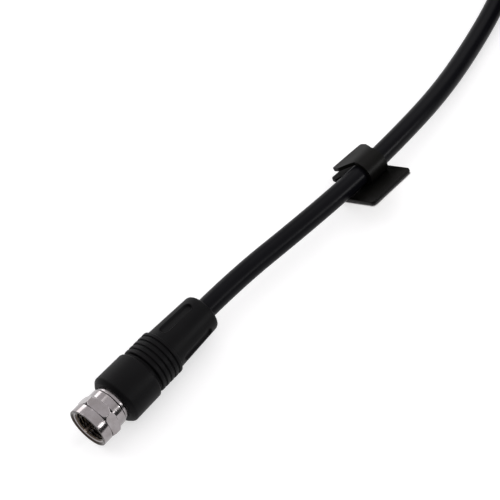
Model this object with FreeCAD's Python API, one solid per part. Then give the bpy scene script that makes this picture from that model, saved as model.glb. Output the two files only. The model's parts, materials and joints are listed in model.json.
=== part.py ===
import FreeCAD, Part
import math
import os

# Coaxial lead with a screw-on plug at each end and an adhesive clip on the cable.
# Millimetres. The origin is the centre of the near plug's mouth, +X points out of it and +Z is up.
# Along a plug, a station is the distance back from its mouth, towards the cable.

# Coupling nut
nut_ring_diameter = 11.75
nut_ring_length = 2.9
nut_ring_round = 0.2
hex_across_flats = 11.1
hex_across_corners = 12.75
hex_length = 3.0
hex_roll = 4.0
hex_chamfer = 0.5
hex_chamfer_length = 0.7
nut_collar_diameter = 11.0
nut_collar_length = 2.5
nut_collar_round = 0.3
nut_mouth_diameter = 11.0
nut_mouth_depth = 0.8
thread_minor_diameter = 8.67
nut_lip_thickness = 1.5

# Post that traps the nut and grips the braid
flange_thickness = 0.9
flange_clearance = 0.14
nut_axial_play = 0.1
neck_diameter = 6.6
neck_clearance = 0.08
neck_seat = 1.05
shank_wall = 0.5

# Stripped end of the cable inside the plug
conductor_diameter = 0.48
contact_diameter = 0.8
contact_reach = 0.9
contact_tip_chamfer = 0.15
dielectric_diameter = 3.4
braid_thickness = 0.7

# Crimp sleeve behind the nut
sleeve_gap = 0.15
sleeve_ring_diameter = 10.2
sleeve_ring_showing = 1.0
sleeve_ring_seat = 1.1
sleeve_wall = 1.0
sleeve_depth = 10.1

# Moulded boot
boot_collar_length = 10.35
boot_collar_front_diameter = 14.6
boot_collar_taper = 0.25
boot_front_bevel = 1.0
boot_edge_round = 0.45
boot_rear_round = 0.5
neck_groove_width = 1.2
neck_groove_depth = 0.9
rib_count = 5
rib_width = 1.0
rib_groove_width = 0.6
rib_groove_depth = 0.45
rib_diameter = 13.6
rib_round = 0.25
grip_length = 15.8
grip_front_diameter = 12.35
grip_rear_diameter = 10.9
grip_end_round = 1.7
flute_width = 2.8
flute_depth = 0.5
flute_front_margin = 1.9
flute_rear_margin = 3.0
flute_spread = 51.5
flute_roll = 33.0

# Cable
cable_diameter = 5.8

# Adhesive clip: across runs from its lips to its flange, up is the normal of its base
clip_station = 105.7
clip_roll = 35.0
clip_bore_clearance = 0.15
clip_wall = 1.05
clip_seat_height = 0.1
clip_strap_width = 7.0
clip_strap_shift = 3.2
clip_opening_from = 92.6
clip_opening_to = 183.0
lip_upper_near_half = 6.6
lip_upper_near_reach = 6.4
lip_upper_far_half = 4.8
lip_upper_far_reach = 5.4
lip_lower_near_half = 7.9
lip_lower_near_reach = 3.7
lip_lower_far_half = 5.1
lip_lower_far_reach = 2.9
lip_widening = 0.7
lip_corner_round = 0.6
lip_lower_angle = 167.0
base_near_reach = 7.3
base_far_reach = 8.6
base_flange_near = 9.9
base_flange_far = 10.2
base_heel_reach = 5.4
base_thickness = 0.9
base_corner_round = 1.1
tape_thickness = 0.5
tape_margin = 0.2
liner_thickness = 0.15

# Hank of folded cable, held by a tie
hank_near_end = 193.0
hank_side_shift = 8.2
hank_turns_across = 2
hank_turns_high = 3
hank_fold_radius = 16.2
hank_hollow_radius = 30.0
hank_edge_round = 2.3
hank_hole_start = 9.0
tie_width = 10.0
tie_thickness = 0.8
tie_clearance = 0.1
tie_tab_length = 11.0

# Far plug, lying on the hank and pointing the same way as the near one
far_overhang = 2.4
far_side_shift = 2.7
far_rest_gap = 0.1

# Stations along a plug
nut_length = nut_ring_length + hex_length + nut_collar_length
lip_station = nut_length - nut_lip_thickness
flange_rear = lip_station - nut_axial_play
flange_front = flange_rear - flange_thickness
sleeve_front = nut_length + sleeve_gap
neck_end = sleeve_front + neck_seat
boot_front = sleeve_front + sleeve_ring_showing
ring_end = boot_front + sleeve_ring_seat
core_end = boot_front + sleeve_depth
collar_end = boot_front + boot_collar_length
rib_pitch = rib_width + rib_groove_width
rib_front = collar_end + neck_groove_width
grip_front = rib_front + rib_count * rib_pitch - rib_groove_width
grip_end = grip_front + grip_length

# Radii shared by mating pieces
cable_radius = cable_diameter / 2
conductor_radius = conductor_diameter / 2
dielectric_radius = dielectric_diameter / 2
shank_radius = dielectric_radius + shank_wall
braid_radius = shank_radius + braid_thickness
sleeve_radius = braid_radius + sleeve_wall
neck_radius = neck_diameter / 2
thread_radius = thread_minor_diameter / 2
ring_radius = sleeve_ring_diameter / 2

# The lead rests on a plane under the near plug's collar
table = -boot_collar_front_diameter / 2

# Hank sizes that follow from its turns
hank_pack = hank_turns_across * cable_diameter
hank_lobe_radius = hank_fold_radius + hank_pack - cable_radius
hank_waist = hank_pack
hank_flat = tie_width / 2 + tie_clearance
hank_height = hank_turns_high * cable_diameter
hank_lobe_offset = hank_flat + math.sqrt(
    (hank_lobe_radius - hank_waist) * (hank_lobe_radius + hank_waist + 2 * hank_hollow_radius)
)
hank_base = table + tie_thickness
hank_top = hank_base + hank_height
hank_x = -(hank_near_end + hank_lobe_offset + hank_lobe_radius)
far_mouth = FreeCAD.Vector(
    far_overhang - hank_near_end,
    hank_side_shift + far_side_shift,
    hank_top + far_rest_gap + boot_collar_front_diameter / 2,
)

# Route of the free cable after the near boot's end, to its place in the hank
near_route = [
    (-58.0, 0.2, 0.0),
    (-80.0, 2.7, 0.0),
    (-102.0, 4.6, 0.05),
    (-124.0, 4.9, -0.3),
    (-144.0, 3.7, -2.0),
    (-164.0, 0.3, -3.8),
    (-184.0, -4.1, -4.2),
    (-201.0, -9.6, -3.6),
]
# Route of the far plug's cable after its boot's end, down into the hank
far_route = [
    (-247.0, 11.0, 17.9),
    (-262.0, 12.2, 15.3),
    (-279.0, 16.5, 11.3),
    (-294.0, 23.0, 8.2),
]


def point(values):
    return FreeCAD.Vector(*values)


def lathe(profile):
    """Solid of revolution about the X axis from (station, radius) points."""
    corners = [FreeCAD.Vector(-station, radius, 0) for station, radius in profile]
    outline = Part.makePolygon(corners + corners[:1])
    return Part.Face(outline).revolve(FreeCAD.Vector(), FreeCAD.Vector(1, 0, 0), 360)


def tube_between(front, rear, inner, outer):
    return lathe([(front, inner), (front, outer), (rear, outer), (rear, inner)])


def rims(shape, places):
    """Circular edges of a turned piece at the given (station, radius) places."""
    found = []
    for station, radius in places:
        for edge in shape.Edges:
            if not isinstance(edge.Curve, Part.Circle):
                continue
            centre = edge.Curve.Center
            if abs(centre.x + station) < 1e-4 and abs(edge.Curve.Radius - radius) < 1e-4:
                found.append(edge)
    return found


def rounded(shape, places, radius):
    return shape.makeFillet(radius, rims(shape, places))


def make_coupling_nut():
    """Front ring, hexagon and rear collar turned as one piece, with a lip that the post holds."""
    ring_r = nut_ring_diameter / 2
    collar_r = nut_collar_diameter / 2
    hex_r = hex_across_corners / 2
    hex_front = nut_ring_length
    hex_rear = hex_front + hex_length
    ring = rounded(lathe([(0, 0), (0, ring_r), (hex_front, ring_r), (hex_front, 0)]), [(0, ring_r)], nut_ring_round)
    collar = lathe([(hex_rear, 0), (hex_rear, collar_r), (nut_length, collar_r), (nut_length, 0)])
    collar = rounded(collar, [(nut_length, collar_r)], nut_collar_round)
    corner_r = hex_across_flats / 2 / math.cos(math.pi / 6)
    corners = [
        FreeCAD.Vector(-hex_front, corner_r * math.cos(k * math.pi / 3), corner_r * math.sin(k * math.pi / 3))
        for k in range(7)
    ]
    prism = Part.Face(Part.makePolygon(corners)).extrude(FreeCAD.Vector(-hex_length, 0, 0))
    prism.rotate(FreeCAD.Vector(), FreeCAD.Vector(1, 0, 0), -hex_roll)
    chamfered = lathe([
        (hex_front, 0),
        (hex_front, hex_r - hex_chamfer),
        (hex_front + hex_chamfer_length, hex_r),
        (hex_rear - hex_chamfer_length, hex_r),
        (hex_rear, hex_r - hex_chamfer),
        (hex_rear, 0),
    ])
    mouth_r = nut_mouth_diameter / 2
    lip_r = neck_radius + neck_clearance
    bore = lathe([
        (0, 0),
        (0, mouth_r),
        (nut_mouth_depth, thread_radius),
        (lip_station, thread_radius),
        (lip_station, lip_r),
        (nut_length, lip_r),
        (nut_length, 0),
    ])
    return ring.fuse([prism.common(chamfered), collar]).cut(bore).removeSplitter()


def make_post():
    """Flange in front of the nut's lip, neck through the lip, and a thin shank under the braid."""
    return lathe([
        (flange_front, dielectric_radius),
        (flange_front, thread_radius - flange_clearance),
        (flange_rear, thread_radius - flange_clearance),
        (flange_rear, neck_radius),
        (neck_end, neck_radius),
        (neck_end, shank_radius),
        (core_end, shank_radius),
        (core_end, dielectric_radius),
    ])


def make_crimp_sleeve():
    """Ring that shows behind the nut, and the sleeve that the boot is moulded over."""
    return lathe([
        (sleeve_front, neck_radius),
        (sleeve_front, ring_radius),
        (ring_end, ring_radius),
        (ring_end, sleeve_radius),
        (core_end, sleeve_radius),
        (core_end, braid_radius),
        (neck_end, braid_radius),
        (neck_end, neck_radius),
    ])


def make_dielectric_core():
    return tube_between(flange_front, core_end, conductor_radius, dielectric_radius)


def make_centre_conductor():
    """Solid wire with a thicker bevelled pin in front of the post, the plug's inner contact."""
    tip = -contact_reach
    contact_radius = contact_diameter / 2
    return lathe([
        (tip, 0),
        (tip, contact_radius - contact_tip_chamfer),
        (tip + contact_tip_chamfer, contact_radius),
        (flange_front, contact_radius),
        (flange_front, conductor_radius),
        (core_end, conductor_radius),
        (core_end, 0),
    ])


def make_braid_wrap():
    return tube_between(neck_end, core_end, shank_radius, braid_radius)


def make_boot():
    """Tapered collar, a row of ribs and a fluted grip, moulded round the sleeve and the cable."""
    collar_front_r = boot_collar_front_diameter / 2
    collar_rear_r = collar_front_r - boot_collar_taper / 2
    profile = [
        (boot_front, ring_radius),
        (boot_front, collar_front_r - boot_front_bevel),
        (boot_front + boot_front_bevel, collar_front_r),
        (collar_end, collar_rear_r),
    ]
    rib_r = rib_diameter / 2
    groove_r = rib_r - rib_groove_depth
    neck_r = rib_r - neck_groove_depth
    profile += [(collar_end, neck_r), (rib_front, neck_r)]
    rib_edges = []
    for k in range(rib_count):
        rib_start = rib_front + k * rib_pitch
        rib_stop = rib_start + rib_width
        if k > 0:
            profile += [(rib_start - rib_groove_width, groove_r), (rib_start, groove_r)]
        profile += [(rib_start, rib_r), (rib_stop, rib_r)]
        rib_edges += [(rib_start, rib_r), (rib_stop, rib_r)]
    grip_front_r = grip_front_diameter / 2
    grip_rear_r = grip_rear_diameter / 2
    profile += [
        (grip_front, grip_front_r),
        (grip_end, grip_rear_r),
        (grip_end, cable_radius),
        (core_end, cable_radius),
        (core_end, sleeve_radius),
        (ring_end, sleeve_radius),
        (ring_end, ring_radius),
    ]
    boot = lathe(profile)
    boot = rounded(boot, rib_edges, rib_round)
    front_edges = [(boot_front, collar_front_r - boot_front_bevel), (boot_front + boot_front_bevel, collar_front_r)]
    boot = rounded(boot, front_edges, boot_edge_round)
    boot = rounded(boot, [(collar_end, collar_rear_r)], min(boot_rear_round, 0.8 * (collar_rear_r - neck_r)))
    boot = rounded(boot, [(grip_end, grip_rear_r)], grip_end_round)
    for pair in (0, 180):
        for side in (-1, 1):
            boot = boot.cut(make_flute(flute_roll + pair + side * flute_spread))
    return boot


def make_flute(roll):
    """Cutter for one long shallow recess with round ends, turned from +Z towards +Y by roll."""
    front = -(grip_front + flute_front_margin)
    rear = -(grip_end - flute_rear_margin)
    half = flute_width / 2
    slope = math.atan2((grip_front_diameter - grip_rear_diameter) / 2, grip_length)
    middle = (front + rear) / 2
    reach = (front - rear) / 2 - half
    outline = Part.Wire([
        Part.LineSegment(FreeCAD.Vector(-reach, -half, 0), FreeCAD.Vector(reach, -half, 0)).toShape(),
        Part.Arc(
            FreeCAD.Vector(reach, -half, 0), FreeCAD.Vector(reach + half, 0, 0), FreeCAD.Vector(reach, half, 0)
        ).toShape(),
        Part.LineSegment(FreeCAD.Vector(reach, half, 0), FreeCAD.Vector(-reach, half, 0)).toShape(),
        Part.Arc(
            FreeCAD.Vector(-reach, half, 0), FreeCAD.Vector(-reach - half, 0, 0), FreeCAD.Vector(-reach, -half, 0)
        ).toShape(),
    ])
    cutter = Part.Face(outline).extrude(FreeCAD.Vector(0, 0, flute_width))
    cutter.rotate(FreeCAD.Vector(), FreeCAD.Vector(0, 1, 0), -math.degrees(slope))
    surface = grip_front_diameter / 2 - (-middle - grip_front) * math.tan(slope)
    cutter.translate(FreeCAD.Vector(middle, 0, surface - flute_depth))
    cutter.rotate(FreeCAD.Vector(), FreeCAD.Vector(1, 0, 0), -roll)
    return cutter


plug_makers = {
    "coupling_nut": make_coupling_nut,
    "post": make_post,
    "crimp_sleeve": make_crimp_sleeve,
    "dielectric_core": make_dielectric_core,
    "centre_conductor": make_centre_conductor,
    "braid_wrap": make_braid_wrap,
    "boot": make_boot,
}


def route_path(points):
    """Straight runs joined by tangent arcs as large as the runs allow. Prints the arcs' radii."""
    setback_share = 0.45
    edges = []
    radii = []
    start = points[0]
    for before, corner, after in zip(points, points[1:], points[2:]):
        back = before.sub(corner)
        ahead = after.sub(corner)
        setback = setback_share * min(back.Length, ahead.Length)
        half_turn = (math.pi - back.getAngle(ahead)) / 2
        radius = setback / math.tan(half_turn)
        back.normalize()
        ahead.normalize()
        enter = corner + back * setback
        leave = corner + ahead * setback
        inward = (back + ahead).normalize()
        middle = corner + inward * (radius / math.cos(half_turn) - radius)
        edges.append(Part.LineSegment(start, enter).toShape())
        edges.append(Part.Arc(enter, middle, leave).toShape())
        radii.append(round(radius, 1))
        start = leave
    edges.append(Part.LineSegment(start, points[-1]).toShape())
    print("bend radii", radii)
    return Part.Wire(edges)


def make_cable(path):
    """Round cable along a path of runs and arcs."""
    start = path.Edges[0].Vertexes[0].Point
    heading = path.Edges[0].tangentAt(path.Edges[0].FirstParameter)
    section = Part.Wire(Part.makeCircle(cable_radius, start, heading))
    cable = path.makePipeShell([section], True, False)
    ideal = math.pi * cable_radius ** 2 * path.Length
    print("cable length", round(path.Length, 1), "volume over section times length", round(cable.Volume / ideal, 4))
    return cable


def place_on_path(path, station):
    """Point of a path nearest to a station, with the heading there."""
    step = 0.1
    points = path.discretize(Distance=step)
    k = min(range(1, len(points) - 1), key=lambda i: abs(points[i].x + station))
    return points[k], points[k + 1].sub(points[k - 1]).normalize()


def clip_placement(path):
    """Frame of the clip on the cable: towards the plug, across its base, and up from its base."""
    centre, heading = place_on_path(path, clip_station)
    towards_plug = heading * -1
    level = FreeCAD.Vector(0, 0, 1).cross(towards_plug).normalize()
    upright = towards_plug.cross(level)
    roll = math.radians(clip_roll)
    across = level * math.cos(roll) + upright * math.sin(roll)
    up = towards_plug.cross(across)
    matrix = FreeCAD.Matrix(
        towards_plug.x, across.x, up.x, centre.x,
        towards_plug.y, across.y, up.y, centre.y,
        towards_plug.z, across.z, up.z, centre.z,
        0, 0, 0, 1,
    )
    return FreeCAD.Placement(matrix)


def polar(radius, degrees):
    """Point of the clip's section, at an angle from the flange side towards up."""
    angle = math.radians(degrees)
    return FreeCAD.Vector(0, radius * math.cos(angle), radius * math.sin(angle))


clip_bore_radius = cable_radius + clip_bore_clearance
clip_loop_radius = clip_bore_radius + clip_wall
base_top = -(clip_bore_radius + clip_seat_height)
tape_top = base_top - base_thickness
liner_top = tape_top - tape_thickness


def base_slab(margin, top, thickness):
    """Round-cornered slab under the clip, inset by a margin, a little wider at its far end."""
    heel = -base_heel_reach + margin
    corners = [
        (base_near_reach - margin, heel),
        (base_near_reach - margin, base_flange_near - margin),
        (-base_far_reach + margin, base_flange_far - margin),
        (-base_far_reach + margin, heel),
    ]
    outline = [FreeCAD.Vector(along, across, top - thickness) for along, across in corners]
    slab = Part.Face(Part.makePolygon(outline + outline[:1])).extrude(FreeCAD.Vector(0, 0, thickness))
    uprights = [edge for edge in slab.Edges if abs(edge.tangentAt(0).z) > 0.5]
    return slab.makeFillet(base_corner_round, uprights)


def make_lip(root_angle, lip_angle, near_corner, far_corner):
    """Lip that goes on from the loop's open edge and widens towards its outer edge.

    Its corners are given as (along from the strap's middle, out from the open edge).
    """
    root_half = clip_strap_width / 2
    near_half, near_reach = near_corner
    far_half, far_reach = far_corner
    plan = [
        (root_half, 0),
        (near_half, near_reach * lip_widening),
        (near_half, near_reach),
        (-far_half, far_reach),
        (-far_half, far_reach * lip_widening),
        (-root_half, 0),
    ]
    corners = [FreeCAD.Vector(along, out, -clip_wall / 2) for along, out in plan]
    lip = Part.Face(Part.makePolygon(corners + corners[:1])).extrude(FreeCAD.Vector(0, 0, clip_wall))
    outer = []
    for edge in lip.Edges:
        out = edge.Vertexes[0].Point.y
        if abs(edge.tangentAt(0).z) > 0.5 and min(abs(out - near_reach), abs(out - far_reach)) < 1e-6:
            outer.append(edge)
    lip = lip.makeFillet(lip_corner_round, outer)
    lip.rotate(FreeCAD.Vector(), FreeCAD.Vector(1, 0, 0), lip_angle)
    lip.translate(polar((clip_bore_radius + clip_loop_radius) / 2, root_angle))
    return lip


def make_cable_clip():
    """Open loop on a flat base, moulded as one piece; its top runs on straight into the upper lip."""
    half = clip_strap_width / 2
    start = FreeCAD.Vector(-half, 0, 0)
    along = FreeCAD.Vector(1, 0, 0)
    loop = Part.makeCylinder(clip_loop_radius, clip_strap_width, start, along)
    reach = 2 * clip_loop_radius
    middle = (clip_opening_from + clip_opening_to) / 2
    gap = [start] + [start + polar(reach, angle) for angle in (clip_opening_from, middle, clip_opening_to)]
    opening = Part.Face(Part.makePolygon(gap + gap[:1])).extrude(along * clip_strap_width)
    upper_near = (lip_upper_near_half, lip_upper_near_reach)
    upper_far = (lip_upper_far_half, lip_upper_far_reach)
    lower_near = (lip_lower_near_half, lip_lower_near_reach)
    lower_far = (lip_lower_far_half, lip_lower_far_reach)
    upper_lip = make_lip(clip_opening_from, clip_opening_from + 90, upper_near, upper_far)
    lower_lip = make_lip(clip_opening_to, lip_lower_angle, lower_near, lower_far)
    bore_half = 2 * (base_near_reach + base_far_reach)
    bore = Part.makeCylinder(clip_bore_radius, 2 * bore_half, FreeCAD.Vector(-bore_half, 0, 0), along)
    below_base = Part.makeBox(2 * bore_half, 2 * reach, reach, FreeCAD.Vector(-bore_half, -reach, tape_top - reach))
    loop = loop.cut(opening).fuse([upper_lip, lower_lip]).cut([bore, below_base])
    loop.translate(along * -clip_strap_shift)
    return loop.fuse(base_slab(0, base_top, base_thickness)).removeSplitter()


def make_clip_tape():
    return base_slab(tape_margin, tape_top, tape_thickness)


def make_clip_liner():
    return base_slab(0, liner_top, liner_thickness)


def lobe_touch(inset):
    """Where a lobe's arc meets the hollow arc, on the hank's outline moved in by an inset."""
    reach = hank_lobe_radius + hank_hollow_radius
    share = (hank_lobe_radius - inset) / reach
    x = hank_lobe_offset + share * (hank_flat - hank_lobe_offset)
    y = share * (hank_waist + hank_hollow_radius)
    return x, y


def hollow_point(inset, x):
    """Height of the hollow arc at x, on the outline moved in by an inset."""
    radius = hank_hollow_radius + inset
    return hank_waist + hank_hollow_radius - math.sqrt(radius ** 2 - (x - hank_flat) ** 2)


def arc(first, middle, last):
    return Part.Arc(*(FreeCAD.Vector(x, y, 0) for x, y in (first, middle, last))).toShape()


def line(first, last):
    return Part.LineSegment(*(FreeCAD.Vector(x, y, 0) for x, y in (first, last))).toShape()


def hank_outline():
    """Two round lobes joined by hollow sides and a short straight waist."""
    x, y = lobe_touch(0)
    flat = hank_flat
    waist = hank_waist
    between = (flat + x) / 2
    hollow = hollow_point(0, between)
    far_end = hank_lobe_offset + hank_lobe_radius
    return Part.Wire([
        line((-flat, waist), (flat, waist)),
        arc((flat, waist), (between, hollow), (x, y)),
        arc((x, y), (far_end, 0), (x, -y)),
        arc((x, -y), (between, -hollow), (flat, -waist)),
        line((flat, -waist), (-flat, -waist)),
        arc((-flat, -waist), (-between, -hollow), (-x, -y)),
        arc((-x, -y), (-far_end, 0), (-x, y)),
        arc((-x, y), (-between, hollow), (-flat, waist)),
    ])


def hank_hole(side):
    """Opening inside one lobe, narrowing towards the waist."""
    x, y = lobe_touch(hank_pack)
    start = hank_flat + hank_hole_start
    half = hollow_point(hank_pack, start)
    between = (start + x) / 2
    hollow = hollow_point(hank_pack, between)
    far_end = hank_lobe_offset + hank_lobe_radius - hank_pack
    return Part.Wire([
        line((side * start, -half), (side * start, half)),
        arc((side * start, half), (side * between, hollow), (side * x, y)),
        arc((side * x, y), (side * far_end, 0), (side * x, -y)),
        arc((side * x, -y), (side * between, -hollow), (side * start, -half)),
    ])


def make_cable_hank():
    """Bundle of folded turns as one solid with the hank's outer form."""
    rise = FreeCAD.Vector(0, 0, hank_height)
    hank = Part.Face(hank_outline()).extrude(rise)
    level = [edge for edge in hank.Edges if abs(edge.tangentAt(edge.FirstParameter).z) < 0.5]
    hank = hank.makeFillet(hank_edge_round, level)
    for side in (-1, 1):
        hank = hank.cut(Part.Face(hank_hole(side)).extrude(rise))
    hank.translate(FreeCAD.Vector(hank_x, hank_side_shift, hank_base))
    return hank


def make_hank_tie():
    """Strap round the hank's waist, with its end lapped over one side."""
    inner_half = hank_waist + tie_clearance
    outer_half = inner_half + tie_thickness
    low_x = hank_x - tie_width / 2
    inner_top = hank_top + tie_clearance
    outer_top = inner_top + tie_thickness
    band = Part.makeBox(
        tie_width, 2 * outer_half, outer_top - table, FreeCAD.Vector(low_x, hank_side_shift - outer_half, table)
    )
    room = Part.makeBox(
        tie_width, 2 * inner_half, inner_top - hank_base, FreeCAD.Vector(low_x, hank_side_shift - inner_half, hank_base)
    )
    long_edges = [edge for edge in band.Edges if abs(edge.tangentAt(0).x) > 0.5]
    band = band.makeFillet(tie_thickness, long_edges).cut(room)
    tab = Part.makeBox(
        tie_width,
        tie_thickness,
        tie_tab_length,
        FreeCAD.Vector(low_x, hank_side_shift - outer_half - tie_thickness, inner_top - tie_tab_length),
    )
    return band.fuse(tab).removeSplitter()


def main():
    os.makedirs("parts", exist_ok=True)
    parts = {}
    for name, maker in plug_makers.items():
        parts[name] = maker()
        parts["far_" + name] = parts[name].copy()
        parts["far_" + name].translate(far_mouth)
    core = FreeCAD.Vector(-core_end, 0, 0)
    boot_exit = FreeCAD.Vector(-grip_end, 0, 0)
    near_path = route_path([core, boot_exit] + [point(values) for values in near_route])
    far_path = route_path([far_mouth + core, far_mouth + boot_exit] + [point(values) for values in far_route])
    parts["cable"] = make_cable(near_path)
    parts["far_cable"] = make_cable(far_path)
    placement = clip_placement(near_path)
    clip_makers = {"cable_clip": make_cable_clip, "clip_tape": make_clip_tape, "clip_liner": make_clip_liner}
    for name, maker in clip_makers.items():
        parts[name] = maker()
        parts[name].Placement = placement
    parts["cable_hank"] = make_cable_hank()
    parts["hank_tie"] = make_hank_tie()
    for name, shape in parts.items():
        print(name, shape.ShapeType, "solids", len(shape.Solids), "valid", shape.isValid(), round(shape.Volume, 2))
        shape.exportStep("parts/" + name + ".step")


main()
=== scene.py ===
"""Looks of a black coaxial lead: a screw-on plug at each end, a clip on the cable and a tied hank.

Sizes of the lead are in millimetres and become metres in its meshes. Finishes and the studio are in
metres. The origin is the centre of the near plug's mouth, +X points out of it and +Z is up. Along a
plug, a station is the distance back from its mouth.
"""

from __future__ import annotations

import json
import logging
import math
from dataclasses import dataclass, field
from enum import Enum
from typing import Any, Callable, Mapping, Sequence, Union

import bmesh
import bpy
import numpy as np
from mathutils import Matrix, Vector

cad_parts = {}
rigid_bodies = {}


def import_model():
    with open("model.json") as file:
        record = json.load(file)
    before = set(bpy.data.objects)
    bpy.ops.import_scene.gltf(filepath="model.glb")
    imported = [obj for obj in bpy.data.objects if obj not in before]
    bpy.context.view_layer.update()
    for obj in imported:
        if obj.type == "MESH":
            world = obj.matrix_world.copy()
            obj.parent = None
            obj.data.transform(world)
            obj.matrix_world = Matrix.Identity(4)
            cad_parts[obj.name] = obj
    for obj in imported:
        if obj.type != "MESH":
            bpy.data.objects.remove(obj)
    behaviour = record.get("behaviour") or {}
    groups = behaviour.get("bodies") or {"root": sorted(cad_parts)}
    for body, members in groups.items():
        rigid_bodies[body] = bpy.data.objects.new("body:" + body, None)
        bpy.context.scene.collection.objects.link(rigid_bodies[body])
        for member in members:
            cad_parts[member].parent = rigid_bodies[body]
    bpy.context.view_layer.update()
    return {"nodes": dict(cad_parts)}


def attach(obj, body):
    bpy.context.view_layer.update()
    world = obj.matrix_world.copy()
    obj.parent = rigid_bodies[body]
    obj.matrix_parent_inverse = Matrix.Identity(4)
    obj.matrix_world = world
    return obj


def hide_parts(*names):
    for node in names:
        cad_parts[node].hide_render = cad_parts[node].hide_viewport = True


LOG = logging.getLogger("coaxial_lead")
MM = 0.001
TURN = 2.0 * math.pi

# Allowances where sizes are compared
CLOSE = 0.02
TINY = 1e-6

# Where the hank and the far plug lie
HANK_CENTRE = (-258.825, 8.2)
FAR_MOUTH = (-190.6, 10.9, 18.3)

Array = np.ndarray
Colour = tuple[float, float, float, float]
Place = tuple[float, float, float]
Corner = tuple[float, float, float]
Operand = Union["Value", float]
Span = tuple[float, float]
Bend = Callable[[Array, Array, Array], Array]


class Body(Enum):
    """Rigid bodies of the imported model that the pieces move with."""

    LEAD = "lead"
    NEAR_NUT = "near_nut"
    FAR_NUT = "far_nut"


class Value:
    """A shader socket that takes part in Python arithmetic."""

    def __init__(self, bench: Bench, socket: bpy.types.NodeSocket) -> None:
        """Keeps the bench that owns the socket, and the socket."""
        self.bench = bench
        self.socket = socket

    def __add__(self, other: Operand) -> Value:
        """Sum of two values."""
        return self.bench.maths("ADD", self, other)

    def __sub__(self, other: Operand) -> Value:
        """Difference of two values."""
        return self.bench.maths("SUBTRACT", self, other)

    def __mul__(self, other: Operand) -> Value:
        """Product of two values."""
        return self.bench.maths("MULTIPLY", self, other)

    def __pow__(self, power: Operand) -> Value:
        """A value raised to a power."""
        return self.bench.maths("POWER", self, power)


class Bench:
    """A node tree of a material or a world, with one way to add a node."""

    def __init__(self, owner: bpy.types.Material | bpy.types.World) -> None:
        """Starts the owner's tree empty.

        Args:
            owner: the material or world.
        """
        owner.use_nodes = True
        self.tree = owner.node_tree
        self.tree.nodes.clear()

    def node(
        self,
        kind: str,
        settings: Mapping[str, Any] | None = None,
        sockets: Mapping[str | int, Any] | None = None,
        output: str | int = 0,
    ) -> Value:
        """Adds a node.

        Args:
            kind: the node's type.
            settings: its properties, set first; "stops" holds a ramp's (position, colour) pairs.
            sockets: numbers, colours or links for its inputs.
            output: the output to return.

        Returns:
            The named output.
        """
        made = self.tree.nodes.new(kind)
        for key, setting in (settings or {}).items():
            if key == "stops":
                ramp = made.color_ramp
                while len(ramp.elements) < len(setting):
                    ramp.elements.new(1.0)
                for element, (position, colour) in zip(ramp.elements, setting):
                    element.position = position
                    element.color = colour
            else:
                setattr(made, key, setting)
        for key, given in (sockets or {}).items():
            if isinstance(given, Value):
                self.tree.links.new(given.socket, made.inputs[key])
            else:
                made.inputs[key].default_value = given
        return Value(self, made.outputs[output])

    def maths(self, operation: str, first: Operand, second: Operand) -> Value:
        """One Math node on two operands."""
        return self.node("ShaderNodeMath", {"operation": operation}, {0: first, 1: second})

    def place(self, centre: Place = (0.0, 0.0, 0.0), scale: Place = (1.0, 1.0, 1.0)) -> Value:
        """Object coordinates in metres.

        Args:
            centre: the place that they are counted from.
            scale: how they are stretched.

        Returns:
            The vector.
        """
        coordinates = self.node("ShaderNodeTexCoord", output="Object")
        shift = tuple(-c * s for c, s in zip(centre, scale))
        sockets = {"Vector": coordinates, "Location": shift, "Scale": scale}
        return self.node("ShaderNodeMapping", None, sockets)

    def split(self, vector: Value) -> list[Value]:
        """X, Y and Z of a vector."""
        return [self.node("ShaderNodeSeparateXYZ", None, {0: vector}, axis) for axis in "XYZ"]

    def noise(self, vector: Value, scale: float, detail: float = 2.0, roughness: float = 0.5) -> Value:
        """Noise from 0 to 1 on a vector."""
        sockets = {"Vector": vector, "Scale": scale, "Detail": detail, "Roughness": roughness}
        return self.node("ShaderNodeTexNoise", None, sockets, "Fac")

    def spread(self, value: Value, low: float, high: float) -> Value:
        """A value's span from low to high, stretched to 0 to 1 and held there."""
        sockets = {"Value": value, "From Min": low, "From Max": high}
        return self.node("ShaderNodeMapRange", {"clamp": True}, sockets)

    def mix(self, factor: Operand, first: Colour | Value, second: Colour | Value) -> Value:
        """Colour between two colours."""
        return self.node("ShaderNodeMix", {"data_type": "RGBA"}, {0: factor, 6: first, 7: second}, 2)

    def bump(self, height: Value, strength: float, distance: float, under: Value | None = None) -> Value:
        """Normal of a relief.

        Args:
            height: its height, from 0 to 1.
            strength: how much of it shows.
            distance: the height of 1, in metres.
            under: the normal that it lies on, if any.

        Returns:
            The normal.
        """
        sockets: dict[str | int, Any] = {"Height": height, "Strength": strength, "Distance": distance}
        if under is not None:
            sockets["Normal"] = under
        return self.node("ShaderNodeBump", None, sockets, "Normal")

    def close(self, shader: Value, output: str = "ShaderNodeOutputMaterial") -> None:
        """Joins a shader to the tree's output."""
        made = self.tree.nodes.new(output)
        self.tree.links.new(shader.socket, made.inputs["Surface"])

    def principled(self, sockets: Mapping[str | int, Any]) -> None:
        """Closes the material with one Principled shader."""
        self.close(self.node("ShaderNodeBsdfPrincipled", None, sockets, "BSDF"))


@dataclass(frozen=True)
class Finish:
    """A named surface finish."""

    name: str

    def dress(self, bench: Bench) -> None:
        """Adds the finish's nodes to a bench."""
        raise NotImplementedError

    def material(self) -> bpy.types.Material:
        """Makes the finish's material the first time.

        Returns:
            The material.
        """
        known = bpy.data.materials.get(self.name)
        if known is not None:
            return known
        made = bpy.data.materials.new(self.name)
        self.dress(Bench(made))
        return made


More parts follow.
